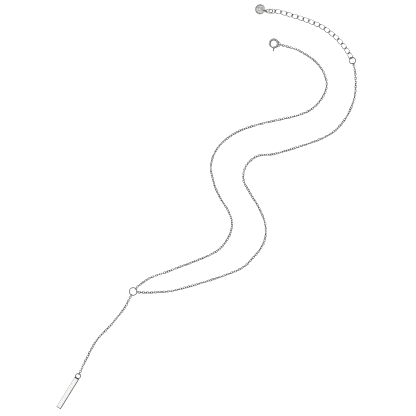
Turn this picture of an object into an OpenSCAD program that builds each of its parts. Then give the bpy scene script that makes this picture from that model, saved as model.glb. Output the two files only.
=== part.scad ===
// Fine silver Y necklace with a bar drop, lying open and unclasped on a flat surface.
// The plan is seen from above: X to the right, Y up the plan, Z up from the surface at 0.
// Everything lies at one height, because the rings rest on the links that pass through them.

/* [Fine chain] */
// Wire diameter of the fine chain's links
chain_wire = 0.24; // [0.2:0.01:0.3]
// Distance from one fine link to the next, which each strand rounds to a whole count
chain_pitch = 1; // [1:0.02:1.4]
// Gap between a link and the wire that passes through it
link_clear = 0.12; // [0.12:0.01:0.14]
// Room round the fine chain in the plain strands that stand for it
strand_skin = 0.05; // [0.05:0.01:0.1]

/* [Rings] */
// Wire diameter of the Y ring, the end ring and the pendant's eye
ring_wire = 0.5; // [0.4:0.02:0.54]
// Outer diameter of the ring where the three strands meet
y_ring_d = 4.2; // [3.8:0.1:6]
// Outer diameter of the ring between the chain and the extension
end_ring_d = 3.7; // [3.2:0.1:5]

/* [Bar pendant] */
// Length of the bar without its eye
bar_l = 16.9; // [10:0.1:30]
// Width of the bar
bar_w = 2.6; // [2:0.1:4]
// Thickness of the bar
bar_t = 1.3; // [1.2:0.05:2]
// Bevel along the edges of the bar
bar_bevel = 0.4; // [0.1:0.02:0.5]
// Outer diameter of the eye soldered to the bar's end
bar_eye_d = 2.9; // [2.6:0.1:4]
// Depth to which the eye is let into the bar's end
bar_eye_sink = 0.4; // [0.1:0.02:0.46]

/* [Extension chain] */
// Number of links in the extension chain
extension_links = 18; // [12:1:20]
// Wire diameter of the extension links
extension_wire = 0.4; // [0.35:0.01:0.5]
// Outer width of the extension links
extension_w = 2.4; // [2.2:0.05:2.8]
// Distance from one extension link to the next when pulled straight
extension_pitch = 2.8; // [2.6:0.05:3.2]
// How far the last link has slipped back into the one before it
extension_slack = 1.3; // [0:0.05:1.6]

/* [Tag] */
// Diameter of the round tag
tag_d = 5; // [4:0.1:7]
// Thickness of the tag at its rim
tag_t = 0.6; // [0.5:0.02:0.7]
// Width of the raised rim of the tag
tag_rim = 0.35; // [0.3:0.01:0.45]
// Depth of the tag's field below its rim
tag_field = 0.12; // [0.08:0.01:0.16]
// Field left between the tag's rim and its hole
tag_web = 0.1; // [0.05:0.01:0.15]
// Diameter of the hole in the tag
tag_hole_d = 0.8; // [0.76:0.02:1]
// Outer diameter of the ring through the tag's hole
tag_ring_d = 2.4; // [2.4:0.05:3]
// Wire diameter of the ring through the tag's hole
tag_ring_wire = 0.36; // [0.3:0.02:0.36]

/* [Spring ring clasp] */
// Outer diameter of the clasp's ring
clasp_d = 5; // [4.6:0.1:6]
// Outer diameter of the tube that the ring is bent from
clasp_tube = 1.1; // [0.96:0.02:1.2]
// Wire diameter of the bolt that slides in the tube
bolt_wire = 0.6; // [0.54:0.02:0.64]
// Gap between the bolt and the bore of the tube
bolt_clear = 0.05; // [0.04:0.01:0.06]
// Opening of the ring that the bolt bridges, in degrees
gate_angle = 56; // [46:1:60]
// Depth to which the bolt's tip enters the far end of the tube, in degrees
bolt_catch = 8; // [5:1:12]
// Travel of the bolt from closed to open, in degrees
bolt_travel = 44; // [30:1:46]
// Length of the bolt behind its thumb lug, in degrees
bolt_tail = 26; // [15:1:40]
// Diameter of the lug's neck where it passes through the slot
lug_neck = 0.45; // [0.36:0.01:0.46]
// Diameter of the lug's head
lug_head = 0.65; // [0.5:0.05:0.8]
// Distance that the lug stands out of the tube
lug_reach = 1.3; // [1:0.05:2]
// Wire diameter of the bow-shaped eye soldered to the tube
clasp_eye_wire = 0.35; // [0.3:0.01:0.4]
// Half of the angle between the two feet of the eye
clasp_eye_half = 40; // [36:1:41]
// Wire diameter of the small link between the eye and the chain
clasp_link_wire = 0.3; // [0.25:0.01:0.36]
// Outer length of that small link
clasp_link_l = 1.9; // [1.8:0.05:2.4]

/* [Hidden] */
silver = [0.78, 0.79, 0.81];

// Plan places of the hard pieces, chosen by hand, and the headings of what leaves them
y_ring_at = [-36.05, -40.15];
end_ring_at = [69.4, 70.9];
clasp_at = [31.6, 79.1];
bar_eye_at = [-62.5, -80.8];
bar_heading = 238.4;
bar_pull = 63;
y_left = 46;
y_right = -6;
y_drop = 243;
end_chain = -75;
end_extension = 116;
clasp_eye_turn = -8;
clasp_pull = -15;
lug_turn = 267;
tag_heading = 160;

// Routes of the chains between those pieces, as few points chosen by hand
left_route = [
    [45, 75], [53, 69], [57, 60.5], [54.5, 52.5], [46, 45.5], [25.5, 40.5], [14, 36.5],
    [5.5, 30], [1.5, 21.5], [2.5, 13], [5.5, 5.5], [10, -2], [11.5, -8.5], [9, -15.5],
    [2, -22], [-18, -30], [-27.5, -33.5]
];
right_route = [
    [71, 60.5], [70, 51.5], [65, 41.5], [56, 34], [34, 26.5], [24, 25], [18.5, 20.5],
    [17, 14], [20, 7.5], [24.5, 0], [27.5, -8], [27, -16], [22, -23.5], [13, -30.5],
    [-13.5, -39], [-25, -40.5]
];
drop_route = [[-40.5, -48.5], [-46.5, -56], [-53.5, -63.5], [-58.5, -72.5]];
extension_route = [
    [64.2, 79.2], [60.5, 83], [54.8, 87.1], [48.5, 89.9], [41, 92.4], [33, 94.5], [25, 94.5],
    [15, 94.5]
];
// Each chain runs straight over this length from what it hooks on
lead_out = 2.4;

// Steps used to draw each curve, and sides of the meshed wires
curve_steps = 12;
tube_steps = 2;
tube_sides = 8;
wire_sides = 6;
link_turns = 4;
curb_turns = 6;
// Each end of an extension link is turned by this much, so that neighbours cross at right angles
curb_twist = 45;
// The last links before the tag rise over this length
rise_l = 8;
// The end ring leans across the chain by this much, and the first extension link lies this far
// inside its wire
end_ring_lean = 10;
end_ring_seat = 0.2;
// Height by which the tag's ring stands over the last link and over the tag's edge
tag_ring_seat = 0.22;
tag_edge_seat = 0.1;
// The mouth of the clasp's tube starts this much before the lug, and the slot ends with this gap
mouth_lead = 5;
slot_clear = 1.5;
// Degrees by which the cutters of the bore and the slot run out of the tube's mouths
mouth_over = 2;
// Gap under the lug's head, and the head's chamfer
lug_gap = 0.1;
lug_chamfer = 0.12;
// The drop chain's links drift by half a quarter turn over this share of it at either end
drift_end = 0.25;
// Facets of the round pieces, and of their wires
round_fn = 96;
wire_fn = 48;

// Fine links: the inner width lets a ring's wire through, and the hole holds two wire ends
chain_w = ring_wire + 2 * (chain_wire + link_clear);
strand_d = chain_w + 2 * strand_skin;
extension_hole = extension_pitch + link_clear;
extension_l = extension_hole + 2 * extension_wire;
clasp_link_w = clasp_eye_wire + 2 * (clasp_link_wire + link_clear);
clasp_link_hole = clasp_link_l - 2 * clasp_link_wire;
curb_half = extension_wire / 2 + max([for (p = curb_line()) p.z]);
lay_z = max(strand_d / 2, curb_half, clasp_tube / 2, clasp_link_w / 2);

// Radii of the wires' centre lines
y_ring_r = (y_ring_d - ring_wire) / 2;
end_ring_r = (end_ring_d - ring_wire) / 2;
bar_eye_r = (bar_eye_d - ring_wire) / 2;
clasp_r = (clasp_d - clasp_tube) / 2;
tag_ring_r = (tag_ring_d - tag_ring_wire) / 2;

// The clasp's eye is an arc through its outermost point and two feet in the tube
eye_out = clasp_d / 2 + clasp_link_wire + 2 * link_clear + clasp_eye_wire / 2;
eye_foot = clasp_r * [cos(clasp_eye_half), sin(clasp_eye_half)];
eye_c = (eye_out * eye_out - clasp_r * clasp_r) / (2 * (eye_out - eye_foot.x));
eye_r = eye_out - eye_c;
eye_sweep = atan2(eye_foot.y, eye_foot.x - eye_c);

// Unit vector in the plan at an angle
function dir(a) = [cos(a), sin(a)];

// Places where the chains hook on, each at the centre of the wire that they pass round
left_hook_y = y_ring_at + y_ring_r * dir(y_left);
right_hook_y = y_ring_at + y_ring_r * dir(y_right);
drop_hook_y = y_ring_at + y_ring_r * dir(y_drop);
drop_hook_bar = bar_eye_at + bar_eye_r * dir(bar_pull);
right_hook_end = end_ring_at + end_ring_r * dir(end_chain);
extension_hook = end_ring_at + end_ring_r * dir(end_extension);
clasp_hook = clasp_at + eye_c * dir(clasp_eye_turn) + eye_r * dir(clasp_pull);
clasp_link_out = (clasp_link_hole - clasp_eye_wire) / 2 - link_clear;
clasp_link_at = clasp_hook + clasp_link_out * dir(clasp_pull);
left_hook_clasp = clasp_link_at + (clasp_link_hole + clasp_link_wire) / 2 * dir(clasp_pull);

// Point at share t of the way from route point i to the next, on a smooth curve through them all
function on_span(p, i, t) = let (
        b = p[i],
        c = p[i + 1],
        a = i > 0 ? p[i - 1] : 2 * b - c,
        d = i + 2 < len(p) ? p[i + 2] : 2 * c - b
    )
    (2 * b + t * (c - a) + t * t * (2 * a - 5 * b + 4 * c - d) + t * t * t * (3 * b - a - 3 * c + d)) / 2;

function curve(p, steps) = [
    for (i = [0 : len(p) - 2], k = [0 : steps - 1]) on_span(p, i, k / steps),
    p[len(p) - 1]
];

// Running length of a curve up to each of its points
function run_lengths(c) = [
    for (i = 0, s = 0; i < len(c); i = i + 1, s = s + (i < len(c) ? norm(c[i] - c[i - 1]) : 0)) s
];

// A measured route: tables of X and Y by length, and the whole length
function measured(p) = let (c = curve(p, curve_steps), s = run_lengths(c)) [
    [for (i = [0 : len(c) - 1]) [s[i], c[i].x]],
    [for (i = [0 : len(c) - 1]) [s[i], c[i].y]],
    s[len(s) - 1]
];
function at(route, s) = [lookup(s, route[0]), lookup(s, route[1])];
function heading(route, s, reach) =
    let (d = at(route, s + reach) - at(route, s - reach))
        atan2(d.y, d.x);

// A hook and the end of its straight lead-out
function lead(hook, a) = [hook, hook + lead_out * dir(a)];
function lead_in(hook, a) = [hook + lead_out * dir(a), hook];

left_points = concat(lead(left_hook_clasp, clasp_pull), left_route, lead_in(left_hook_y, y_left));
right_points = concat(lead(right_hook_end, end_chain), right_route, lead_in(right_hook_y, y_right));
left_way = measured(left_points);
right_way = measured(right_points);
drop_way = measured(concat(lead(drop_hook_y, y_drop), drop_route, lead_in(drop_hook_bar, bar_pull)));
extension_way = measured(concat(lead(extension_hook, end_extension), extension_route));

// A strand between two wires holds an even number of links, one in two of them turned over
function strand_links(way, wire_a, wire_b) =
    2 * round((way[2] + link_clear + (wire_a + wire_b) / 2) / chain_pitch / 2);
function strand_pitch(way, wire_a, wire_b) =
    (way[2] + link_clear + (wire_a + wire_b) / 2) / strand_links(way, wire_a, wire_b);
function first_link(pitch, wire) = (pitch - link_clear - wire) / 2;

// Extension links by their distance along the route, the last one slipped back by the slack
function extension_s(i) = extension_hole / 2 - ring_wire / 2 - end_ring_seat
    + (i - 1) * extension_pitch - (i == extension_links ? extension_slack : 0);
extension_end_s = extension_s(extension_links) + (extension_hole + extension_wire) / 2;
tag_rise = max(0, tag_ring_d / 2 - tag_ring_seat - lay_z);
function extension_rise(s) = tag_rise * pow(max(0, 1 - (extension_end_s - s) / rise_l), 2);

// The tag leans on the surface with its far edge and hangs on its ring with the near one
tag_ring_z = max(tag_ring_d / 2, lay_z + tag_ring_seat);
tag_ring_at = at(extension_way, extension_end_s) + tag_ring_seat * dir(tag_heading);
tag_hole_z = tag_ring_z - tag_edge_seat;
tag_arm = tag_d / 2 - tag_rim - tag_web - tag_hole_d / 2;
tag_tilt = asin((tag_hole_z - tag_t / 2) / (tag_arm + tag_d / 2));

// Corners of the bar in the plan, from the eye's centre along the bar's heading
bar_start = bar_eye_d / 2 - bar_eye_sink;
bar_corners = [
    for (along = [bar_start, bar_start + bar_l], side = [-1, 1])
        bar_eye_at + along * dir(bar_heading) + side * bar_w / 2 * dir(bar_heading + 90)
];
tag_at = tag_ring_at + (tag_ring_r + tag_arm * cos(tag_tilt)) * dir(tag_heading);

// Middle of the whole plan, which becomes the origin
plan_x = [
    for (p = bar_corners) p.x,
    for (p = curve(right_points, tube_steps)) p.x + strand_d / 2
];
plan_y = concat([for (p = bar_corners) p.y], [tag_at.y + tag_d / 2]);
middle = [min(plan_x) + max(plan_x), min(plan_y) + max(plan_y)] / 2;

// Faces of a sweep of n rings with m points each, closed into a loop or capped at both ends
function sweep_faces(n, m, closed) = concat(
    [
        for (i = [0 : closed ? n - 1 : n - 2], k = [0 : m - 1])
            let (j = (i + 1) % n, l = (k + 1) % m)
                [i * m + k, j * m + l, j * m + k]
    ],
    [
        for (i = [0 : closed ? n - 1 : n - 2], k = [0 : m - 1])
            let (j = (i + 1) % n, l = (k + 1) % m)
                [i * m + k, i * m + l, j * m + l]
    ],
    closed ? [] : [[for (k = [m - 1 : -1 : 0]) k], [for (k = [0 : m - 1]) (n - 1) * m + k]]
);

function unit(v) = v / norm(v);

// Wire swept round a closed centre line, with ups as the direction across the link at each point
module closed_wire(line, ups, wire) {
    n = len(line);
    points = [
        for (i = [0 : n - 1])
            let (
                t = unit(line[(i + 1) % n] - line[(i + n - 1) % n]),
                side = unit(cross(t, ups[i])),
                up = cross(side, t)
            )
            for (k = [0 : wire_sides - 1])
                line[i] + wire / 2 * (cos(k * 360 / wire_sides) * side + sin(k * 360 / wire_sides) * up)
    ];
    polyhedron(points, sweep_faces(n, wire_sides, true), convexity = 6);
}

// Centre line of an oval with round ends and straight sides, flat in the plan
function oval_line(half_l, half_w, turns) = [
    for (end = [1, -1], k = [0 : turns])
        let (a = -90 + 180 * k / turns)
            end * [half_l - half_w + half_w * cos(a), half_w * sin(a), 0]
];

// An oval link along X, round wire, flat in the plan
module oval_link(l, w, wire) {
    line = oval_line((l - wire) / 2, (w - wire) / 2, link_turns);
    closed_wire(line, [for (p = line) [0, 0, 1]], wire);
}

// Centre line of an extension link: the oval with its ends turned opposite ways about X
function curb_flat() = let (
        half_l = (extension_l - extension_wire) / 2,
        half_w = (extension_w - extension_wire) / 2
    )
    [
        for (end = [1, -1]) each [
            [0, -end * half_w, 0],
            for (k = [0 : curb_turns])
                let (a = -90 + 180 * k / curb_turns)
                    end * [half_l - half_w + half_w * cos(a), half_w * sin(a), 0]
        ]
    ];
function curb_turn(p) = curb_twist * 2 * p.x / (extension_l - extension_wire);
function curb_line() = [
    for (p = curb_flat()) [p.x, p.y * cos(curb_turn(p)), p.y * sin(curb_turn(p))]
];

module curb_link() {
    ups = [for (p = curb_flat()) [0, -sin(curb_turn(p)), cos(curb_turn(p))]];
    closed_wire(curb_line(), ups, extension_wire);
}

// One fine link at a distance along a strand, rolled about the strand
module fine_link(way, s, pitch, roll) {
    p = at(way, s);
    translate([p.x, p.y, lay_z]) rotate([roll, 0, heading(way, s, pitch / 4)])
        oval_link(pitch + link_clear + 2 * chain_wire, chain_w, chain_wire);
}

// A strand as a plain tube along its route, with a true link at each end that holds the next piece
module strand(points, way, wire_a, wire_b, roll_a, roll_b) {
    pitch = strand_pitch(way, wire_a, wire_b);
    start = wire_a / 2 + 2 * link_clear;
    end = way[2] - wire_b / 2 - 2 * link_clear;
    c = curve(points, tube_steps);
    n = len(c);
    line = [for (i = [0 : n - 1]) i == 0 ? at(way, start) : i == n - 1 ? at(way, end) : c[i]];
    rings = [
        for (i = [0 : n - 1])
            let (d = line[min(i + 1, n - 1)] - line[max(i - 1, 0)], side = unit([d.y, -d.x]))
            for (k = [0 : tube_sides - 1])
                let (a = k * 360 / tube_sides)
                    [line[i].x + strand_d / 2 * cos(a) * side.x, line[i].y + strand_d / 2 * cos(a) * side.y,
                        lay_z + strand_d / 2 * sin(a)]
    ];
    polyhedron(rings, sweep_faces(n, tube_sides, false), convexity = 10);
    fine_link(way, first_link(pitch, wire_a), pitch, roll_a);
    fine_link(way, way[2] - first_link(pitch, wire_b), pitch, roll_b);
}

// A closed ring of round wire, flat in the plan
module wire_ring(r, wire) {
    rotate_extrude($fn = round_fn) translate([r, 0]) circle(d = wire, $fn = wire_fn);
}

// Part of such a ring, from one angle on over a sweep
module wire_arc(r, wire, from, sweep) {
    rotate([0, 0, from]) rotate_extrude(angle = sweep, $fn = round_fn)
        translate([r, 0]) circle(d = wire, $fn = wire_fn);
}

// Moves a piece from the plan to the part's origin
module on_plan(p, z) {
    translate([p.x - middle.x, p.y - middle.y, z]) children();
}

module left_chain() {
    color(silver) on_plan([0, 0], 0)
        strand(left_points, left_way, clasp_link_wire, ring_wire, 0, 90);
}

module right_chain() {
    color(silver) on_plan([0, 0], 0)
        strand(right_points, right_way, ring_wire, ring_wire, 90, 90);
}

// Loose links, upright in both rings and lying on their corners between them
module drop_chain() {
    links = strand_links(drop_way, ring_wire, ring_wire);
    pitch = strand_pitch(drop_way, ring_wire, ring_wire);
    start = first_link(pitch, ring_wire);
    color(silver) on_plan([0, 0], 0)
        for (i = [0 : links - 1])
            fine_link(drop_way, start + i * pitch, pitch, 90 * (1 + i + drift(i / (links - 1))));
}

// Share of a quarter turn that a strand has drifted: half of it over the middle stretch
function ease(x) = let (t = min(1, max(0, x))) t * t * (3 - 2 * t);
function drift(share) = (ease(share / drift_end) + ease((share - 1 + drift_end) / drift_end)) / 2;

module y_ring() {
    color(silver) on_plan(y_ring_at, lay_z) wire_ring(y_ring_r, ring_wire);
}

module end_ring() {
    color(silver) on_plan(end_ring_at, lay_z) rotate([0, 0, end_extension])
        rotate([end_ring_lean, 0, 0]) wire_ring(end_ring_r, ring_wire);
}

// Outline of a bar seen from one side, with its four corners cut
module cut_corners(l, w, cut) {
    polygon([
        [cut, 0], [l - cut, 0], [l, cut], [l, w - cut],
        [l - cut, w], [cut, w], [0, w - cut], [0, cut]
    ]);
}

// Flat bevelled bar with a round eye soldered to its upper end
module bar_pendant() {
    color(silver) on_plan(bar_eye_at, 0) rotate([0, 0, bar_heading]) {
        translate([0, 0, lay_z]) wire_ring(bar_eye_r, ring_wire);
        translate([bar_start, 0, 0]) intersection() {
            translate([0, bar_w / 2, 0]) rotate([90, 0, 0]) linear_extrude(bar_w)
                cut_corners(bar_l, bar_t, bar_bevel);
            rotate([90, 0, 90]) linear_extrude(bar_l) translate([-bar_w / 2, 0])
                cut_corners(bar_w, bar_t, bar_bevel);
        }
    }
}

// Tube of the spring ring, bored for the bolt, slotted for its lug, with the eye soldered on
module clasp_ring() {
    bore = bolt_wire + 2 * bolt_clear;
    mouth = lug_turn - mouth_lead;
    half_neck = asin(lug_neck / 2 / (clasp_d / 2 - (clasp_tube - bore) / 2));
    slot_h = lug_neck + 2 * bolt_clear;
    slot_sweep = mouth_over + mouth_lead + bolt_travel + half_neck + slot_clear;
    color(silver) on_plan(clasp_at, lay_z) difference() {
        union() {
            wire_arc(clasp_r, clasp_tube, mouth, 360 - gate_angle);
            rotate([0, 0, clasp_eye_turn]) translate([eye_c, 0, 0])
                wire_arc(eye_r, clasp_eye_wire, -eye_sweep, 2 * eye_sweep);
        }
        wire_arc(clasp_r, bore, mouth - mouth_over, 360 - gate_angle + 2 * mouth_over);
        rotate([0, 0, mouth - mouth_over]) rotate_extrude(angle = slot_sweep, $fn = round_fn)
            translate([clasp_r, -slot_h / 2]) square([clasp_tube, slot_h]);
    }
}

// Bolt of the clasp: a curved rod with its thumb lug, which turns about the ring's centre
module clasp_bolt() {
    tip = lug_turn - mouth_lead - gate_angle - bolt_catch;
    neck = clasp_d / 2 + lug_gap - clasp_r;
    head = lug_reach - lug_gap;
    color(silver) on_plan(clasp_at, lay_z) {
        wire_arc(clasp_r, bolt_wire, tip, lug_turn + bolt_tail - tip);
        rotate([0, 90, lug_turn]) {
            translate([0, 0, clasp_r]) cylinder(d = lug_neck, h = neck + lug_chamfer, $fn = wire_fn);
            translate([0, 0, clasp_r + neck]) rotate_extrude($fn = wire_fn) intersection() {
                translate([-lug_head / 2, 0]) cut_corners(lug_head, head, lug_chamfer);
                square([lug_head, head]);
            }
        }
    }
}

// Small oval link, standing upright, between the clasp's eye and the chain
module clasp_link() {
    color(silver) on_plan(clasp_link_at, lay_z) rotate([90, 0, clasp_pull])
        oval_link(clasp_link_l, clasp_link_w, clasp_link_wire);
}

// Extension link number i, counted from the end ring to the tag
module extension_link(i) {
    s = extension_s(i);
    reach = extension_pitch / 2;
    p = at(extension_way, s);
    climb = atan2(extension_rise(s + reach) - extension_rise(s - reach), 2 * reach);
    color(silver) on_plan(p, lay_z + extension_rise(s))
        rotate([0, -climb, heading(extension_way, s, reach)]) curb_link();
}

// Round ring, standing upright, through the last extension link and the tag
module tag_ring() {
    color(silver) on_plan(tag_ring_at, tag_ring_z) rotate([90, 0, tag_heading])
        wire_ring(tag_ring_r, tag_ring_wire);
}

// Plain round tag with a raised rim, leaning from its ring down to the surface
module tag() {
    hole_at = tag_ring_at + tag_ring_r * dir(tag_heading);
    field_z = tag_t - tag_field;
    color(silver) on_plan(hole_at, tag_hole_z) rotate([0, tag_tilt, tag_heading])
        translate([tag_arm, 0, -tag_t / 2]) difference() {
            cylinder(d = tag_d, h = tag_t, $fn = round_fn);
            translate([0, 0, field_z]) cylinder(d = tag_d - 2 * tag_rim, h = tag_t, $fn = round_fn);
            translate([-tag_arm, 0, -tag_t / 2]) cylinder(d = tag_hole_d, h = 2 * tag_t, $fn = wire_fn);
        }
}

function link_name(i) = str("extension_link_", i < 10 ? "0" : "", i);

clasp_ring();
clasp_bolt();
clasp_link();
left_chain();
right_chain();
y_ring();
drop_chain();
bar_pendant();
end_ring();
for (i = [1 : extension_links]) extension_link(i);
tag_ring();
tag();
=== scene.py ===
# A fine silver Y necklace with a bar drop, lying open on a light table and seen from above.
# Lengths are millimetres on a plan with its zero under the camera, as in the part's source,
# and on_table() turns them into the frame's metres.
import bpy
import bmesh
import math
import numpy as np
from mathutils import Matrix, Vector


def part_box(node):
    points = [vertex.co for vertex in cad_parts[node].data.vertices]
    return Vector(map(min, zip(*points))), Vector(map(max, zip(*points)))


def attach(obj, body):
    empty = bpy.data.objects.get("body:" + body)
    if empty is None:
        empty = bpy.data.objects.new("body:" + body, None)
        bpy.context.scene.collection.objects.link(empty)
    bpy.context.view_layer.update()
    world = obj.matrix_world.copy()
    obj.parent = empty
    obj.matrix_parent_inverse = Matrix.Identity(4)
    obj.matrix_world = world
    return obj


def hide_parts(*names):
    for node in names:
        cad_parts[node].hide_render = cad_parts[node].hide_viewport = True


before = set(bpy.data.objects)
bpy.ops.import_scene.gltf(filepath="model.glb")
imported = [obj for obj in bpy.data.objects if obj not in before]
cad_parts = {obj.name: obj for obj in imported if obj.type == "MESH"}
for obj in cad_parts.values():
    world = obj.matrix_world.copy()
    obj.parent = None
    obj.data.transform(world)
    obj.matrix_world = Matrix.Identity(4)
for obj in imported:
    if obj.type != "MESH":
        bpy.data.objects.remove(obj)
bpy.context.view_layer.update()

# Camera. The necklace was photographed from straight above, from little more than half a metre:
# the bar shows a sliver of the end that faces the middle, which a distant camera wouldn't see.
# The Y ring ties the plan to the frame. Denoising is off, as it smears the dots of the fine chain.
Y_RING_AT = np.array([-36.05, -40.15])
PLAN_WIDTH = 200
CAMERA_HEIGHT = 560
CAMERA_NEAR, CAMERA_FAR = 0.01, 20
PIXEL_SOFTNESS = 1.25

y_ring_low, y_ring_high = (np.array(corner) * 1000 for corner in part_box("y_ring"))
LIE = (y_ring_low[2] + y_ring_high[2]) / 2    # height of the wires' centres over the table
PLAN_ZERO = (y_ring_low + y_ring_high)[:2] / 2 - Y_RING_AT


def on_table(points):
    """Plan points, with their heights, in the frame's metres."""
    return (np.asarray(points, float) + [*PLAN_ZERO, 0]) / 1000


camera = bpy.data.objects.new("camera", bpy.data.cameras.new("camera"))
bpy.context.scene.collection.objects.link(camera)
camera.location = on_table([0, 0, LIE + CAMERA_HEIGHT])
camera.data.sensor_fit = "HORIZONTAL"
camera.data.angle = 2 * math.atan(PLAN_WIDTH / 2 / CAMERA_HEIGHT)
camera.data.clip_start, camera.data.clip_end = CAMERA_NEAR, CAMERA_FAR
bpy.context.scene.camera = camera
bpy.context.scene.view_settings.view_transform = "Standard"
bpy.context.scene.cycles.filter_width = PIXEL_SOFTNESS
bpy.context.scene.cycles.use_denoising = False

# Light table. A sheet of white paper that the photographer whitened, so that shadows nearly vanish:
# the camera sees it glow, while the silver mirrors it as it was, grey and shaded by the chain.
TABLE_SIZE = 6.0
TABLE_SINK = 0.00001
TABLE_GLOW = 0.6


class Signal:
    """A socket in a node tree. Sums and products of sockets and numbers add their Math nodes."""

    def __init__(self, tree, socket=None):
        self.tree, self.socket = tree, socket

    def node(self, kind, settings=(), sockets=(), out=0):
        """Adds a node: its type, its settings, then the values or links of its sockets."""
        made = self.tree.nodes.new(kind)
        for name, value in dict(settings).items():
            if name == "stops":
                stops = made.color_ramp.elements
                stops[0].position, stops[1].position = value[0][0], value[-1][0]
                for place, shade in value[1:-1]:
                    stops.new(place)
                for stop, (place, shade) in zip(stops, value):
                    stop.color = (shade, shade, shade, 1)
            else:
                setattr(made, name, value)
        for name, value in dict(sockets).items():
            if isinstance(value, Signal):
                self.tree.links.new(value.socket, made.inputs[name])
            else:
                made.inputs[name].default_value = value
        return Signal(self.tree, made.outputs[out]) if len(made.outputs) else made

    def maths(self, operation, first, second=0.0):
        return self.node("ShaderNodeMath", {"operation": operation}, {0: first, 1: second})

    def __add__(self, other):
        return self.maths("ADD", self, other)

    def __radd__(self, other):
        return self.maths("ADD", other, self)

    def __mul__(self, other):
        return self.maths("MULTIPLY", self, other)

    def __rmul__(self, other):
        return self.maths("MULTIPLY", other, self)


def new_material(name):
    """An empty material, and a signal to start its nodes from."""
    material = bpy.data.materials.new(name)
    material.use_nodes = True
    material.node_tree.nodes.clear()
    return material, Signal(material.node_tree)


table_paper, paper = new_material("light_table_paper")
paper_grain = paper.node("ShaderNodeTexNoise", {}, {
    "Vector": paper.node("ShaderNodeTexCoord", {}, {}, "Object"), "Scale": 900.0, "Detail": 3.0})
paper_bump = paper.node("ShaderNodeBump", {}, {
    "Height": paper_grain, "Distance": 0.00002, "Strength": 0.3})
paper_plain, paper_lit = (paper.node("ShaderNodeBsdfPrincipled", {}, {
    "Base Color": (0.82, 0.82, 0.82, 1), "Roughness": 0.9, "Specular IOR Level": 0.1,
    "Emission Color": (1, 1, 1, 1), "Emission Strength": glow, "Normal": paper_bump})
    for glow in (0.0, TABLE_GLOW))
paper.node("ShaderNodeOutputMaterial", {}, {"Surface": paper.node("ShaderNodeMixShader", {}, {
    0: paper.node("ShaderNodeLightPath", {}, {}, "Is Camera Ray"), 1: paper_plain, 2: paper_lit})})

half_table = TABLE_SIZE / 2
table_mesh = bpy.data.meshes.new("light_table")
table_mesh.from_pydata(
    [(x * half_table, y * half_table, -TABLE_SINK) for x, y in [(-1, -1), (1, -1), (1, 1), (-1, 1)]],
    [], [(0, 1, 2, 3)])
light_table = bpy.data.objects.new("light_table", table_mesh)
light_table.data.materials.append(table_paper)
bpy.context.scene.collection.objects.link(light_table)

# Studio. A large soft box hangs over the upper left in a dim room, with a pale card low under it.
# Polished silver shows little more than these: white on top, dark along each flank, and the
# table's white again along the edges. The white ceiling lights only the table.
SOFT_BOX_AZIMUTH, SOFT_BOX_HEIGHT, SOFT_BOX_SPREAD = 150, 65, (40, 54)
SOFT_BOX_LIGHT = 0.93
CARD_AZIMUTH, CARD_HEIGHT, CARD_SPREAD = 156, 8, (12, 38)
CARD_LIGHT = 0.5
ROOM_LIGHT = 0.03
CEILING_LIGHT, CEILING_SPREAD = 1.45, 120

ceiling = bpy.data.objects.new("ceiling", bpy.data.lights.new("ceiling", "SUN"))
bpy.context.scene.collection.objects.link(ceiling)
ceiling.data.energy = CEILING_LIGHT
ceiling.data.angle = math.radians(CEILING_SPREAD)
ceiling.visible_glossy = False

studio = bpy.data.worlds.new("studio")
studio.use_nodes = True
studio.node_tree.nodes.clear()
bpy.context.scene.world = studio
room = Signal(studio.node_tree)
toward = room.node("ShaderNodeTexCoord", {}, {}, "Generated")


def glow_round(azimuth, height, spread):
    """Full within the smaller angle of spread from a direction, and none past the larger."""
    a, h = math.radians(azimuth), math.radians(height)
    nearness = toward.node("ShaderNodeVectorMath", {"operation": "DOT_PRODUCT"}, {
        0: toward, 1: (math.cos(a) * math.cos(h), math.sin(a) * math.cos(h), math.sin(h))}, "Value")
    return nearness.node("ShaderNodeMapRange", {"interpolation_type": "SMOOTHSTEP"}, {
        "Value": nearness, "From Min": math.cos(math.radians(spread[1])),
        "From Max": math.cos(math.radians(spread[0]))})


studio_light = (glow_round(SOFT_BOX_AZIMUTH, SOFT_BOX_HEIGHT, SOFT_BOX_SPREAD) * SOFT_BOX_LIGHT
                + glow_round(CARD_AZIMUTH, CARD_HEIGHT, CARD_SPREAD) * CARD_LIGHT + ROOM_LIGHT)
room.node("ShaderNodeOutputWorld", {}, {"Surface": room.node("ShaderNodeMixShader", {}, {
    0: room.node("ShaderNodeLightPath", {}, {}, "Is Camera Ray"),
    1: room.node("ShaderNodeBackground", {}, {"Color": (1, 1, 1, 1), "Strength": studio_light}),
    2: room.node("ShaderNodeBackground", {}, {"Color": (1, 1, 1, 1), "Strength": 1.0})})})

# Clasp: a spring ring of silver tube, bent round and bored, with a bow of wire soldered to it.
# Tube and bow are the source's own solids, polished in a tumbler, so they keep faint swirls and
# scuffs, and a little tarnish where the cloth doesn't reach.


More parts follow.
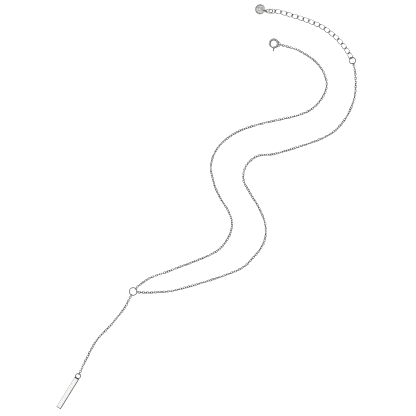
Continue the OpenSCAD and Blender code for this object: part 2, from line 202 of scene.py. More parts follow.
# The base tone is clean silver's only on the bar's faces; the darker tones of tube, bolt and rings
# are partly painted shade.
def worked_silver(name, tone_and_shade, rough, scuff, lean, dull):
    """Polished solid silver: scuffs lying mostly one way, smears that dull it, and thin tarnish."""
    material, start = new_material(name)
    spot = start.node("ShaderNodeTexCoord", {}, {}, "Object")
    scuffs = start.node("ShaderNodeTexNoise", {}, {
        "Vector": spot.node("ShaderNodeMapping", {}, {
            "Vector": spot, "Rotation": (0, 0, math.radians(lean)), "Scale": (1400, 26000, 26000)}),
        "Scale": 1.0, "Detail": 3.0, "Roughness": 0.6})
    crossed = start.node("ShaderNodeTexNoise", {}, {
        "Vector": spot.node("ShaderNodeMapping", {}, {
            "Vector": spot, "Rotation": (0.3, 0.2, math.radians(lean + 62)),
            "Scale": (900, 17000, 17000)}),
        "Scale": 1.0, "Detail": 2.0})
    smear = start.node("ShaderNodeTexNoise", {}, {
        "Vector": spot, "Scale": 700.0, "Detail": 4.0, "Roughness": 0.55})
    deep = scuffs.node("ShaderNodeValToRGB", {"stops": [(0.56, 0), (0.68, 1)]}, {"Fac": scuffs})
    stained = smear.node("ShaderNodeValToRGB", {"stops": [(0.42, 0), (0.72, 1)]}, {"Fac": smear})
    colour = start.node("ShaderNodeMix", {"data_type": "RGBA"}, {
        0: stained * dull, 6: (*tone_and_shade, 1), 7: (0.52, 0.51, 0.5, 1)}, 2)
    bump = start.node("ShaderNodeBump", {}, {
        "Height": scuffs * 0.5 + crossed * 0.35 + smear * 0.6,
        "Distance": 0.0000016 * scuff, "Strength": 1.0})
    surface = start.node("ShaderNodeBsdfPrincipled", {}, {
        "Base Color": colour, "Metallic": 1.0, "Normal": bump,
        "Roughness": rough + deep * (0.1 * scuff) + smear * (0.1 * scuff)})
    start.node("ShaderNodeOutputMaterial", {}, {"Surface": surface})
    return material


def finish_node(node, material):
    """Gives one of the source's own solids its material."""
    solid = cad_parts[node]
    solid.data.materials.clear()
    solid.data.materials.append(material)


# Tube tone set darker than clean silver: partly painted shade.
tube_silver = worked_silver("tube_silver", (0.48, 0.475, 0.465),
                            rough=0.13, scuff=1.0, lean=20, dull=0.3)
finish_node("clasp_ring", tube_silver)

# Clasp bolt: a curved rod of silver wire that slides in the tube, with a turned thumb lug on it.
# It rubs in its bore, so it is scuffed more than the tube.
# Bolt tone set darker still: partly painted shade.
bolt_silver = worked_silver("bolt_silver", (0.3, 0.297, 0.29),
                            rough=0.18, scuff=1.6, lean=75, dull=0.3)
finish_node("clasp_bolt", bolt_silver)

# Clasp link: a small oval of round wire, standing upright between the bow and the left strand.
# It is sawn from drawn wire and closed with solder, and keeps the drawing lines along the wire.
CLASP_AT = np.array([31.6, 79.1])
CLASP_D, CLASP_TUBE = 5.0, 1.1
BOW_WIRE, BOW_HALF, BOW_TURN = 0.35, 40, -8
CLASP_LINK_WIRE, CLASP_LINK_L, CLASP_PULL = 0.3, 1.9, -15
LINK_CLEAR = 0.12
WIRE_SIDES, THICK_WIRE_SIDES = 10, 14
NOOK_FROM, NOOK_FADE = 0.4, 0.3    # shares of a link's half length where its painted nook shade begins
GRAIN_STEP = 7.3


def heading(angle):
    """Unit vector on the plan at an angle in degrees."""
    return np.array([math.cos(math.radians(angle)), math.sin(math.radians(angle))])


def oval_wire(length, width, wire, bend_steps=9):
    """Centre line of an oval link lying along X, with the direction across it at each point."""
    half_l, half_w = (length - wire) / 2, (width - wire) / 2
    turn = np.radians(np.linspace(-90, 90, bend_steps))
    bend = np.stack([half_l - half_w + half_w * np.cos(turn), half_w * np.sin(turn), 0 * turn], 1)
    line = np.concatenate([bend, [[0, half_w, 0]], -bend, [[0, -half_w, 0]]])
    return line, np.tile([0.0, 0.0, 1.0], (len(line), 1))


def round_wire(line, across, wire, sides=WIRE_SIDES):
    """Round wire swept round a closed line: its points, its faces, and per point the place in the
    wire's own grain and how far it lies in the hollow inside the link's ends, for painted shade."""
    ahead = np.roll(line, -1, 0) - np.roll(line, 1, 0)
    ahead /= np.linalg.norm(ahead, axis=1, keepdims=True)
    side = np.cross(ahead, across)
    side /= np.linalg.norm(side, axis=1, keepdims=True)
    up = np.cross(side, ahead)
    turn = np.linspace(0, 2 * math.pi, sides, endpoint=False)
    out = np.cos(turn)[None, :, None] * side[:, None] + np.sin(turn)[None, :, None] * up[:, None]
    points = line[:, None] + out * wire / 2
    n = len(line)
    i, k = np.meshgrid(np.arange(n), np.arange(sides), indexing="ij")
    j, l = (i + 1) % n, (k + 1) % sides
    faces = np.stack([i * sides + k, j * sides + k, j * sides + l, i * sides + l], 2).reshape(-1, 4)
    run = np.concatenate([[0], np.cumsum(np.linalg.norm(np.diff(line, axis=0), axis=1))])
    grain = np.stack([np.tile(run[:, None], (1, sides)), np.tile(np.cos(turn) * wire / 2, (n, 1)),
                      np.tile(np.sin(turn) * wire / 2, (n, 1))], 2)
    reach = np.abs(line[:, :1]) / np.abs(line[:, 0]).max()
    inward = -(out * line[:, None]).sum(2) / np.linalg.norm(line, axis=1)[:, None]
    # The hollow inside each link's ends, where the next link crosses, gets painted shade.
    nook_shade = np.clip(0.4 + 0.6 * inward, 0, 1) * np.clip((reach - NOOK_FROM) / NOOK_FADE, 0, 1)
    return points.reshape(-1, 3), faces, grain.reshape(-1, 3), nook_shade.ravel()


def wire_piece(name, wire_form, spins, places, material):
    """Copies of one wire form, turned and put on the table, joined into one piece. Each copy has
    its place in the grain, its painted shade at the ends and a tone of its own."""
    points, faces, grain, nook_shade = wire_form
    count = len(places)
    spots = np.einsum("nij,pj->npi", np.asarray(spins), points) + np.asarray(places)[:, None]
    mesh = bpy.data.meshes.new(name)
    quads = (faces[None] + np.arange(count)[:, None, None] * len(points)).reshape(-1, 4)
    mesh.vertices.add(count * len(points))
    mesh.vertices.foreach_set("co", on_table(spots.reshape(-1, 3)).ravel())
    mesh.loops.add(quads.size)
    mesh.loops.foreach_set("vertex_index", quads.ravel())
    mesh.polygons.add(len(quads))
    mesh.polygons.foreach_set("loop_start", np.arange(0, quads.size, 4))
    mesh.polygons.foreach_set("use_smooth", np.ones(len(quads), bool))
    mesh.update(calc_edges=True)
    along = mesh.attributes.new("wire_grain", "FLOAT_VECTOR", "POINT")
    shift = np.arange(count)[:, None, None] * np.array([GRAIN_STEP, 0, 0])
    along.data.foreach_set("vector", (grain[None] + shift).astype(np.float32).ravel())
    inside = mesh.attributes.new("wire_nook", "FLOAT", "POINT")
    inside.data.foreach_set("value", np.tile(nook_shade, count).astype(np.float32))
    tone = mesh.attributes.new("wire_tone", "FLOAT", "POINT")
    tones = np.random.default_rng(count).uniform(0, 1, count)
    tone.data.foreach_set("value", np.repeat(tones, len(points)).astype(np.float32))
    piece = bpy.data.objects.new(name, mesh)
    piece.data.materials.append(material)
    bpy.context.scene.collection.objects.link(piece)
    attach(piece, "necklace")
    return piece


def spin(roll, tilt, turn):
    """Roll about X, then tilt about Y, then turn about Z, in degrees."""
    r, t, h = (math.radians(angle) for angle in (roll, tilt, turn))
    about_x = np.array([[1, 0, 0], [0, math.cos(r), -math.sin(r)], [0, math.sin(r), math.cos(r)]])
    about_y = np.array([[math.cos(t), 0, math.sin(t)], [0, 1, 0], [-math.sin(t), 0, math.cos(t)]])
    about_z = np.array([[math.cos(h), -math.sin(h), 0], [math.sin(h), math.cos(h), 0], [0, 0, 1]])
    return about_z @ about_y @ about_x


# The darker base tones given to the clasp link, chain and curb links are partly painted shade.
def drawn_silver(name, tone_and_shade, rough, nook_shade_dark, uneven=0.0):
    """Drawn silver wire: fine lines along it, soft dull patches, and near-black painted shade at
    the inside of the link ends, where the links meet. Links are more or less worn, by as much
    as uneven says."""
    material, start = new_material(name)
    grain = start.node("ShaderNodeAttribute", {"attribute_name": "wire_grain"}, {}, "Vector")
    nook_shade = start.node("ShaderNodeAttribute", {"attribute_name": "wire_nook"}, {}, "Fac")
    tone = start.node("ShaderNodeAttribute", {"attribute_name": "wire_tone"}, {}, "Fac")
    lines = start.node("ShaderNodeTexNoise", {}, {
        "Vector": grain.node("ShaderNodeMapping", {}, {"Vector": grain, "Scale": (1.2, 45, 45)}),
        "Scale": 1.0, "Detail": 3.0, "Roughness": 0.6})
    patches = start.node("ShaderNodeTexNoise", {}, {"Vector": grain, "Scale": 2.3, "Detail": 3.0})
    dull = start.node("ShaderNodeValToRGB", {"stops": [(0.4, 0), (0.75, 1)]}, {"Fac": patches})
    # Towards the near-black tone: dull patches, a random tone per link, and painted shade in the
    # link ends.
    colour = start.node("ShaderNodeMix", {"data_type": "RGBA"}, {
        0: dull * 0.25 + nook_shade * nook_shade_dark + tone * uneven, 6: (*tone_and_shade, 1),
        7: (0.08, 0.078, 0.075, 1)}, 2)
    bump = start.node("ShaderNodeBump", {}, {
        "Height": lines, "Distance": 0.000002, "Strength": 1.0})
    surface = start.node("ShaderNodeBsdfPrincipled", {}, {
        "Base Color": colour, "Metallic": 1.0, "Normal": bump,
        "Roughness": rough + lines * 0.1 + dull * 0.08 + nook_shade * 0.15})
    start.node("ShaderNodeOutputMaterial", {}, {"Surface": surface})
    return material


def bow_hook():
    """Place on the clasp's bow where the upright link hangs, at the centre of the bow's wire."""
    ring_r = (CLASP_D - CLASP_TUBE) / 2
    far = CLASP_D / 2 + CLASP_LINK_WIRE + 2 * LINK_CLEAR + BOW_WIRE / 2
    foot = ring_r * heading(BOW_HALF)
    centre = (far * far - ring_r * ring_r) / (2 * (far - foot[0]))
    return CLASP_AT + centre * heading(BOW_TURN) + (far - centre) * heading(CLASP_PULL)


clasp_link_w = BOW_WIRE + 2 * (CLASP_LINK_WIRE + LINK_CLEAR)
clasp_link_hole = CLASP_LINK_L - 2 * CLASP_LINK_WIRE
clasp_link_at = bow_hook() + ((clasp_link_hole - BOW_WIRE) / 2 - LINK_CLEAR) * heading(CLASP_PULL)
# Clasp link tone near black: partly painted shade.
link_silver = drawn_silver("link_silver", (0.16, 0.158, 0.154), rough=0.12, nook_shade_dark=1.0)
clasp_link_form = round_wire(*oval_wire(CLASP_LINK_L, clasp_link_w, CLASP_LINK_WIRE),
                             CLASP_LINK_WIRE, THICK_WIRE_SIDES)
clasp_link = wire_piece("clasp_link_wire", clasp_link_form, [spin(90, 0, CLASP_PULL)],
                        [[*clasp_link_at, LIE]], link_silver)
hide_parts("clasp_link")

# Y ring and end ring: round jump rings of drawn wire, where the chains meet, soldered shut.
# They are the source's own solids, scuffed by the links that hang in them.
# Ring tone set dark: partly painted shade.
ring_silver = worked_silver("ring_silver", (0.24, 0.237, 0.23),
                            rough=0.12, scuff=1.2, lean=50, dull=0.2)
finish_node("y_ring", ring_silver)
finish_node("end_ring", ring_silver)

# Left strand: a cable chain of 194 oval links from the clasp to the Y ring, each link turned a
# quarter from the next. The chain was let down loosely, so it lies with its links on their
# corners and drifts slowly round, and only the end links are held by what they hook on.
FULL_WIRE, CHAIN_PITCH, RING_WIRE = 0.31, 1.0, 0.5
LINK_NARROWED, LINK_PLAY = 0.06, 0.02
LINK_SLIP, LINK_ZIGZAG = 0.05, 0.1
LINK_LEAN, LINK_ASIDE, ON_CORNER, LOOSE_REACH = 18, 5, 45, 30    # degrees
LINKS_HELD, TOP_EASE, LEFT_END_EASE = 3, 12, 5    # links from an end
WANDER = [(9.1, 1), (15.7, 1), (4.3, 0.5)]    # links to a radian, and share, of each swing
Y_RING_D, LEFT_HEADING, LEAD_OUT, ROUTE_STEPS = 4.2, 46, 2.4, 12
LEFT_ROUTE = [
    (45, 75), (53, 69), (57, 60.5), (54.5, 52.5), (46, 45.5), (25.5, 40.5), (14, 36.5), (5.5, 30),
    (1.5, 21.5), (2.5, 13), (5.5, 5.5), (10, -2), (11.5, -8.5), (9, -15.5), (2, -22), (-18, -30),
    (-27.5, -33.5)]


def way_between(hook_a, out_a, route, hook_b, out_b):
    """The route from hook to hook as points and running lengths, straight at both ends."""
    ends = [hook_a, hook_a + LEAD_OUT * heading(out_a)]
    back = [] if hook_b is None else [hook_b + LEAD_OUT * heading(out_b), hook_b]
    p = np.array([*ends, *route, *back], float)
    p = np.array([2 * p[0] - p[1], *p, 2 * p[-1] - p[-2]])
    t = np.linspace(0, 1, ROUTE_STEPS, endpoint=False)[:, None]
    spans = [(2 * b + t * (c - a) + t**2 * (2 * a - 5 * b + 4 * c - d)
              + t**3 * (3 * b - a - 3 * c + d)) / 2 for a, b, c, d in zip(p, p[1:], p[2:], p[3:])]
    points = np.array([*np.concatenate(spans), p[-2]])
    run = np.concatenate([[0], np.cumsum(np.linalg.norm(np.diff(points, axis=0), axis=1))])
    return points, run


def on_way(way, s):
    """Place at a running length."""
    points, run = way
    return np.array([np.interp(s, run, points[:, 0]), np.interp(s, run, points[:, 1])])


def way_heading(way, s, reach):
    """Heading in degrees, from a little before to a little after a running length."""
    across = on_way(way, s + reach) - on_way(way, s - reach)
    return math.degrees(math.atan2(across[1], across[0]))


def ease(x):
    """Smooth step from 0 to 1."""
    x = np.clip(x, 0, 1)
    return x * x * (3 - 2 * x)


def cable_chain(name, node, way, wires, roll, seed, material):
    """Cable links at equal steps from one hook to the other; roll(i, n) turns each about the way.
    They touch, where the source's links keep clear of each other, so their wire is thicker. Loose
    as they are, they lean on each other in a zigzag, and no two lie alike."""
    span = way[1][-1] + LINK_CLEAR + sum(wires) / 2
    count = 2 * round(span / CHAIN_PITCH / 2)
    pitch = span / count
    start = (pitch - LINK_CLEAR - wires[0]) / 2
    width = RING_WIRE + 2 * (FULL_WIRE + LINK_CLEAR) - LINK_NARROWED
    length = pitch + 2 * FULL_WIRE + LINK_PLAY
    links = np.arange(count)
    free = np.clip(np.minimum(links, links[::-1]) / LINKS_HELD, 0, 1)
    lean, aside, along, across = np.random.default_rng(seed).uniform(-1, 1, (4, count)) * free
    steps = start + links * pitch + LINK_SLIP * along
    rolls = np.array([roll(i, count) for i in links]) + LINK_LEAN * lean
    zigzag = LINK_ZIGZAG * free * np.sin(np.radians(2 * rolls))
    turns = np.array([way_heading(way, s, pitch / 4) for s in steps])
    places = [on_way(way, s) + shift * heading(turn + 90)
              for s, shift, turn in zip(steps, LINK_SLIP * across + zigzag, turns)]
    chain = wire_piece(
        name, round_wire(*oval_wire(length, width, FULL_WIRE), FULL_WIRE),
        [spin(*angles) for angles in zip(rolls, 0 * rolls, turns + LINK_ASIDE * aside)],
        [[*place, LIE] for place in places], material)
    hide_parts(node)


def loose_roll(i, seed):
    """Slow wander of a loose chain about itself, in degrees."""
    turns = np.random.default_rng(seed).uniform(0, 2 * math.pi, len(WANDER))
    swing = sum(share * math.sin(i / links + turn) for (links, share), turn in zip(WANDER, turns))
    return LOOSE_REACH * swing / sum(share for links, share in WANDER)


def left_roll(i, n):
    """Quarter turns, on their corners wherever neither hook holds the chain."""
    free = ease(i / TOP_EASE) * ease((n - 1 - i) / LEFT_END_EASE)
    return 90 * i + free * (ON_CORNER + loose_roll(i, seed=11))


y_ring_r = (Y_RING_D - RING_WIRE) / 2
left_from = clasp_link_at + (clasp_link_hole + CLASP_LINK_WIRE) / 2 * heading(CLASP_PULL)
left_way = way_between(left_from, CLASP_PULL, LEFT_ROUTE,
                       Y_RING_AT + y_ring_r * heading(LEFT_HEADING), LEFT_HEADING)
# Chain tone set darker than clean silver: partly painted shade.
chain_silver = drawn_silver("chain_silver", (0.44, 0.435, 0.425),
                            rough=0.12, nook_shade_dark=1.0, uneven=0.4)
cable_chain("left_chain_links", "left_chain", left_way, (CLASP_LINK_WIRE, RING_WIRE), left_roll,
            seed=4, material=chain_silver)

# Right strand: 192 links of the same chain from the end ring to the Y ring. Its last links near
# the Y ring lie nearly flat and stand nearly up in turn, because the flat ring holds them so.
END_RING_AT, END_RING_D = np.array([69.4, 70.9]), 3.7
END_RING_CHAIN, RIGHT_HEADING = -75, -6
RIGHT_HELD, RIGHT_FREE_EASE, RIGHT_END_EASE = 20, 10, 4
RIGHT_ROUTE = [
    (71, 60.5), (70, 51.5), (65, 41.5), (56, 34), (34, 26.5), (24, 25), (18.5, 20.5), (17, 14),
    (20, 7.5), (24.5, 0), (27.5, -8), (27, -16), (22, -23.5), (13, -30.5), (-13.5, -39),
    (-25, -40.5)]


def right_roll(i, n):
    """Quarter turns that drift by one more from ring to ring, in three short stretches."""
    left = n - 1 - i
    leaves_top = ease(i / TOP_EASE)
    still_free = ease((left - RIGHT_HELD) / RIGHT_FREE_EASE)
    drift = leaves_top / 2 + (2 - still_free - ease(left / RIGHT_END_EASE)) / 4
    return 90 * (1 + i + drift) + leaves_top * still_free * loose_roll(i, seed=23)


end_ring_r = (END_RING_D - RING_WIRE) / 2
right_way = way_between(END_RING_AT + end_ring_r * heading(END_RING_CHAIN), END_RING_CHAIN,
                        RIGHT_ROUTE, Y_RING_AT + y_ring_r * heading(RIGHT_HEADING), RIGHT_HEADING)
cable_chain("right_chain_links", "right_chain", right_way, (RING_WIRE, RING_WIRE), right_roll,
            seed=5, material=chain_silver)

# Drop chain: 46 links of the same chain from the Y ring to the bar's eye. Ring and eye both lie
# flat and hold the link next to them upright, and between them the links lie on their corners.
BAR_EYE_AT, BAR_EYE_D, BAR_PULL, DROP_HEADING = np.array([-62.5, -80.8]), 2.9, 63, 243
DROP_ROUTE = [(-40.5, -48.5), (-46.5, -56), (-53.5, -63.5), (-58.5, -72.5)]
DROP_EASE = 0.25    # share of the drop over which its links turn, at either end


def drop_roll(i, n):
    """Quarter turns, on their corners between the first and last quarter of the drop."""
    share = i / (n - 1)
    return 90 * (1 + i + (ease(share / DROP_EASE) + ease((share - 1 + DROP_EASE) / DROP_EASE)) / 2)


bar_eye_r = (BAR_EYE_D - RING_WIRE) / 2
drop_way = way_between(Y_RING_AT + y_ring_r * heading(DROP_HEADING), DROP_HEADING, DROP_ROUTE,
                       BAR_EYE_AT + bar_eye_r * heading(BAR_PULL), BAR_PULL)
cable_chain("drop_chain_links", "drop_chain", drop_way, (RING_WIRE, RING_WIRE), drop_roll,
            seed=6, material=chain_silver)

# Bar pendant: a slim bar milled from sheet and bevelled all round, its edges softened by polishing,
# with a round eye of wire soldered to its upper end. Its faces are burnished to a mirror and keep
# hairlines from the cloth. Its end faces and end bevels carry painted shade in the darker ring
# silver, and its eye is of ring silver like the other rings.
BAR_HEADING, BAR_L, BAR_W, BAR_T = 238.4, 16.9, 2.6, 1.3
BAR_BEVEL, BAR_BEVEL_DROP, BAR_EYE_SINK, BAR_SOFT_EDGE = 0.4, 0.32, 0.4, 0.045
BAR_POLISHED, BAR_SHADED_ENDS_AND_EYE = 0, 1    # the bar's two material slots
SOFT_EDGE_STEPS, EYE_STEPS, EYE_SIDES = 3, 72, 20
SOLDER_HALF, SOLDER_FADE, SOLDER_SWELL = 14, 26, 0.25


def bar_section(inset, height):
    """Outline of the bar, drawn in by the inset, at a height."""
    x, y = BAR_L / 2 - inset, BAR_W / 2 - inset
    return [(-x, -y, height), (x, -y, height), (x, y, height), (-x, y, height)]


def bar_mesh():
    """The bevelled bar, along X from its eye's centre; add_eye puts on the eye and its solder."""
    made = bmesh.new()
    shift = BAR_EYE_D / 2 - BAR_EYE_SINK + BAR_L / 2
    rings = [[made.verts.new((x + shift, y, z)) for x, y, z in bar_section(inset, height)]
             for inset, height in [(BAR_BEVEL, 0), (0, BAR_BEVEL_DROP), (0, BAR_T - BAR_BEVEL_DROP),
                                   (BAR_BEVEL, BAR_T)]]
    made.faces.new(rings[0][::-1])
    made.faces.new(rings[-1])
    for below, above in zip(rings, rings[1:]):
        for k in range(4):
            made.faces.new([below[k], below[(k + 1) % 4], above[(k + 1) % 4], above[k]])
    bmesh.ops.bevel(made, geom=list(made.edges), offset=BAR_SOFT_EDGE, segments=SOFT_EDGE_STEPS,
                    profile=0.5, affect="EDGES", clamp_overlap=True)
    made.normal_update()
    # Faces turned along the bar, its ends and their bevels, take the darker silver: painted shade.
    for face in made.faces:
        face.material_index = BAR_SHADED_ENDS_AND_EYE if abs(face.normal.x) > 0.5 else BAR_POLISHED
    return made


def add_eye(made, radius, wire, height):
    """A ring of round wire about the origin, thicker where solder joins it to the bar."""
    around = np.linspace(0, -2 * math.pi, EYE_SIDES, endpoint=False)
    rows = []
    for turn in np.linspace(0, 2 * math.pi, EYE_STEPS, endpoint=False):
        off = abs((math.degrees(turn) + 180) % 360 - 180)
        thick = wire / 2 * (1 + SOLDER_SWELL * (1 - ease((off - SOLDER_HALF) / SOLDER_FADE)))
        rows.append([made.verts.new(((radius + thick * math.cos(a)) * math.cos(turn),
                                     (radius + thick * math.cos(a)) * math.sin(turn),
                                     height + thick * math.sin(a))) for a in around])
    for a, b in zip(rows, rows[1:] + rows[:1]):
        for k in range(EYE_SIDES):
            next_k = (k + 1) % EYE_SIDES
            made.faces.new([a[k], b[k], b[next_k], a[next_k]]).material_index = BAR_SHADED_ENDS_AND_EYE


def solid_piece(name, made, turn, at, material, node):
    """A mesh made about the origin, turned on the plan and put in its place."""
    mesh = bpy.data.meshes.new(name)
    bmesh.ops.recalc_face_normals(made, faces=made.faces)
    made.to_mesh(mesh)
    made.free()
    co = np.array([v.co for v in mesh.vertices])
    co = on_table(co @ np.asarray(turn).T + at)
    mesh.vertices.foreach_set("co", co.ravel())
    mesh.polygons.foreach_set("use_smooth", np.ones(len(mesh.polygons), bool))
    mesh.update()
    piece = bpy.data.objects.new(name, mesh)
    piece.data.materials.append(material)
    bpy.context.scene.collection.objects.link(piece)
    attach(piece, "necklace")
    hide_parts(node)
    return piece


bar = bar_mesh()
add_eye(bar, bar_eye_r, RING_WIRE, LIE)
bar_silver = worked_silver("bar_silver", (0.95, 0.945, 0.935),
                           rough=0.06, scuff=0.6, lean=-BAR_HEADING, dull=0.1)
bar_pendant = solid_piece("bar_pendant_polished", bar, spin(0, 0, BAR_HEADING), [*BAR_EYE_AT, 0],
                          bar_silver, "bar_pendant")
# The second slot, ring silver, dresses the eye and puts painted shade on the bar's ends.
bar_pendant.data.materials.append(ring_silver)
bar_weights = bar_pendant.modifiers.new("flat faces stay flat", "WEIGHTED_NORMAL")
bar_weights.keep_sharp = True

# Extension: 18 curb links of drawn wire, each twisted by a quarter turn along its length so that
# the chain lies flat. Link 01 hooks into the end ring, and link 18 has slipped back a little.
EXTENSION_LINKS, EXTENSION_WIRE, EXTENSION_W, EXTENSION_PITCH = 18, 0.4, 2.4, 2.8
EXTENSION_SLACK, EXTENSION_RISE, END_RING_SEAT, END_EXTENSION = 1.3, 8, 0.2, 116
CURB_TWIST, CURB_BEND_STEPS, SAME_SIDE = 90, 13, 1e-9
TAG_RING_D, TAG_RING_SEAT = 2.4, 0.22
EXTENSION_ROUTE = [(64.2, 79.2), (60.5, 83), (54.8, 87.1), (48.5, 89.9), (41, 92.4), (33, 94.5),
                   (25, 94.5), (15, 94.5)]

extension_hole = EXTENSION_PITCH + LINK_CLEAR
extension_l = extension_hole + 2 * EXTENSION_WIRE
extension_way = way_between(END_RING_AT + end_ring_r * heading(END_EXTENSION), END_EXTENSION,
                            EXTENSION_ROUTE, None, 0)


def curb_wire():
    """Centre line of a curb link: an oval with its ends turned opposite ways about X."""
    line = oval_wire(extension_l, EXTENSION_W, EXTENSION_WIRE, CURB_BEND_STEPS)[0]
    thirds = np.array([[1 / 3], [2 / 3]])
    full = []
    for p, q in zip(line, np.roll(line, -1, 0)):
        full.append([p])
        if abs(p[1] - q[1]) < SAME_SIDE:
            full.append(p + thirds * (q - p))
    line = np.concatenate(full)
    turn = np.radians(CURB_TWIST / 2) * line[:, 0] / ((extension_l - EXTENSION_WIRE) / 2)
    twisted = np.stack([line[:, 0], line[:, 1] * np.cos(turn), line[:, 1] * np.sin(turn)], 1)
    return twisted, np.stack([0 * turn, -np.sin(turn), np.cos(turn)], 1)


def extension_step(i):
    """Running length of a link's middle."""
    first = extension_hole / 2 - RING_WIRE / 2 - END_RING_SEAT
    return first + (i - 1) * EXTENSION_PITCH - (EXTENSION_SLACK if i == EXTENSION_LINKS else 0)


extension_end = extension_step(EXTENSION_LINKS) + (extension_hole + EXTENSION_WIRE) / 2
tag_climb = max(0, TAG_RING_D / 2 - TAG_RING_SEAT - LIE)


def extension_climb(s):
    """Height over the lie of the chain, because the tag's upright ring lifts the last links."""
    return tag_climb * max(0, 1 - (extension_end - s) / EXTENSION_RISE) ** 2


# Curb tone set darker than clean silver: partly painted shade.
# Strong painted shade inside the curb links' ends.
curb_silver = drawn_silver("curb_silver", (0.66, 0.655, 0.645), rough=0.12, nook_shade_dark=1.7)
curb_form = round_wire(*curb_wire(), EXTENSION_WIRE, THICK_WIRE_SIDES)
for i in range(1, EXTENSION_LINKS + 1):
    s, reach = extension_step(i), EXTENSION_PITCH / 2
    rise = extension_climb(s + reach) - extension_climb(s - reach)
    climb = math.degrees(math.atan2(rise, 2 * reach))
    curb = wire_piece(
        f"extension_link_{i:02d}_curb", curb_form,
        [spin(0, -climb, way_heading(extension_way, s, reach))],
        [[*on_way(extension_way, s), LIE + extension_climb(s)]], curb_silver)
    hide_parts(f"extension_link_{i:02d}")

# Tag ring: a small jump ring of drawn wire, standing upright through the last link and the tag's
# hole. It is one of the source's own solids, finished like the other rings.
finish_node("tag_ring", ring_silver)

# Tag: a round disc stamped from sheet with a raised rim and a drilled hole. Its field is frosted
# by the die and left plain, and it leans from its ring down to the table.
TAG_D, TAG_T, TAG_RIM, TAG_FIELD, TAG_WEB, TAG_HOLE_D = 5.0, 0.6, 0.35, 0.12, 0.1, 0.8
TAG_RING_WIRE, TAG_EDGE_SEAT, TAG_HEADING, TAG_SIDES = 0.36, 0.1, 160, 96
TAG_HOLE_EDGE = 0.03
GROOVE = [(1.71, 0), (1.98, 1), (2.13, 1), (2.205, 0)]    # distance from the middle, and painted shade
GROOVE_SPAN, GROOVE_DARK, GROOVE_LEVEL, GROOVE_LEAN = 3, 0.75, 0.6, 160

tag_ring_r = (TAG_RING_D - TAG_RING_WIRE) / 2
tag_ring_z = max(TAG_RING_D / 2, LIE + TAG_RING_SEAT)
tag_ring_at = on_way(extension_way, extension_end) + TAG_RING_SEAT * heading(TAG_HEADING)
tag_arm = TAG_D / 2 - TAG_RIM - TAG_WEB - TAG_HOLE_D / 2
tag_tilt = math.degrees(math.asin((tag_ring_z - TAG_EDGE_SEAT - TAG_T / 2) / (tag_arm + TAG_D / 2)))


def rows_round(made, middle, profile, angles):
    """A row of points round a middle on X for each distance and height in a profile."""
    return [[made.verts.new((middle + at * math.cos(a), at * math.sin(a), z - TAG_T / 2))
             for a in angles] for at, z in profile]


def tag_mesh():
    """The disc, its hole's middle at the origin and its face up."""
    made = bmesh.new()
    r, hole_r, field = TAG_D / 2, TAG_HOLE_D / 2, TAG_T - TAG_FIELD
    rim_profile = [(r - inset, z) for inset, z in [
        (0.41, field), (0.39, field + 0.01), (0.31, TAG_T - 0.03), (0.28, TAG_T - 0.005),
        (0.25, TAG_T), (0.12, TAG_T), (0.05, TAG_T - 0.02), (0.015, TAG_T - 0.06),
        (0, TAG_T - 0.13), (0, 0.13), (0.015, 0.06), (0.05, 0.02), (0.12, 0)]]
    hole_profile = [(hole_r + TAG_HOLE_EDGE, field), (hole_r, field - TAG_HOLE_EDGE),
                    (hole_r, TAG_HOLE_EDGE), (hole_r + TAG_HOLE_EDGE, 0)]
    turns = np.linspace(0, 2 * math.pi, TAG_SIDES, endpoint=False)
    rim = rows_round(made, tag_arm, rim_profile, turns)
    hole = rows_round(made, 0, hole_profile, turns[::2])
    for rows in (rim, hole):
        for a, b in zip(rows, rows[1:]):
            for k in range(len(a)):
                made.faces.new([a[k], a[(k + 1) % len(a)], b[(k + 1) % len(a)], b[k]])
    for side in (0, -1):
        edges = [made.edges.get(pair) for row in (rim[side], hole[side])
                 for pair in zip(row, row[1:] + row[:1])]
        bmesh.ops.triangle_fill(made, use_beauty=True, edges=edges)
    return made


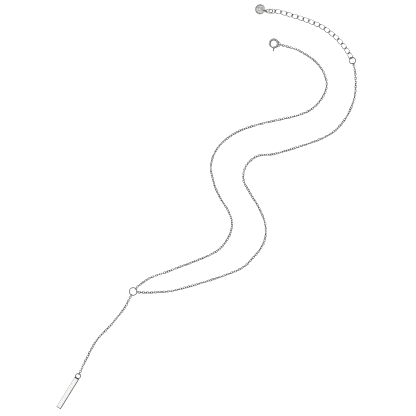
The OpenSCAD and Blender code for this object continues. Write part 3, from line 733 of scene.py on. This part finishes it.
def stamped_silver(name, middle):
    """Frosted silver from a die: fine pits all over, cloudy, and brighter where fingers rub it, with
    painted shade in the groove along the rim, most of all on the side away from the hole."""
    material, start = new_material(name)
    spot = start.node("ShaderNodeTexCoord", {}, {}, "Object")
    pits = start.node("ShaderNodeTexVoronoi", {}, {"Vector": spot, "Scale": 9000.0})
    clouds = start.node("ShaderNodeTexNoise", {}, {
        "Vector": spot, "Scale": 1300.0, "Detail": 5.0, "Roughness": 0.6})
    dull = clouds.node("ShaderNodeValToRGB", {"stops": [(0.4, 0), (0.6, 1)]}, {"Fac": clouds})
    from_middle = start.node("ShaderNodeVectorMath", {"operation": "SUBTRACT"}, {
        0: spot, 1: tuple(middle)})
    radius = start.node("ShaderNodeVectorMath", {"operation": "LENGTH"}, {0: from_middle}, "Value")
    far = start.node("ShaderNodeVectorMath", {"operation": "DOT_PRODUCT"}, {
        0: from_middle, 1: (*heading(TAG_HEADING), 0)}, "Value")
    ring = radius.node(
        "ShaderNodeValToRGB", {"stops": [(r / GROOVE_SPAN, groove_shade) for r, groove_shade in GROOVE]},
        {"Fac": radius * (1000 / GROOVE_SPAN)})
    # Painted shade in the rim's groove, deepest on the side away from the hole.
    groove = ring * (far * GROOVE_LEAN + GROOVE_LEVEL)
    cloudy = start.node("ShaderNodeMix", {"data_type": "RGBA"}, {
        0: dull, 6: (0.82, 0.815, 0.805, 1), 7: (0.42, 0.415, 0.405, 1)}, 2)
    colour = start.node("ShaderNodeMix", {"data_type": "RGBA"}, {
        0: groove * GROOVE_DARK, 6: cloudy, 7: (0.1, 0.098, 0.095, 1)}, 2)
    bump = start.node("ShaderNodeBump", {}, {
        "Height": pits * 0.4 + clouds, "Distance": 0.000012, "Strength": 1.0})
    surface = start.node("ShaderNodeBsdfPrincipled", {}, {
        "Base Color": colour, "Metallic": 1.0, "Normal": bump, "Roughness": 0.26 + dull * 0.16})
    start.node("ShaderNodeOutputMaterial", {}, {"Surface": surface})
    return material


tag_hole_at = tag_ring_at + tag_ring_r * heading(TAG_HEADING)
tag_lean = tag_arm * np.array([math.cos(math.radians(tag_tilt)), -math.sin(math.radians(tag_tilt))])
tag_middle = on_table([*(tag_hole_at + tag_lean[0] * heading(TAG_HEADING)),
                       tag_ring_z - TAG_EDGE_SEAT + tag_lean[1]])
tag = solid_piece("tag_stamped", tag_mesh(), spin(0, tag_tilt, TAG_HEADING),
                  [*tag_hole_at, tag_ring_z - TAG_EDGE_SEAT],
                  stamped_silver("stamped_silver", tag_middle), "tag")
tag.modifiers.new("flat faces stay flat", "WEIGHTED_NORMAL")
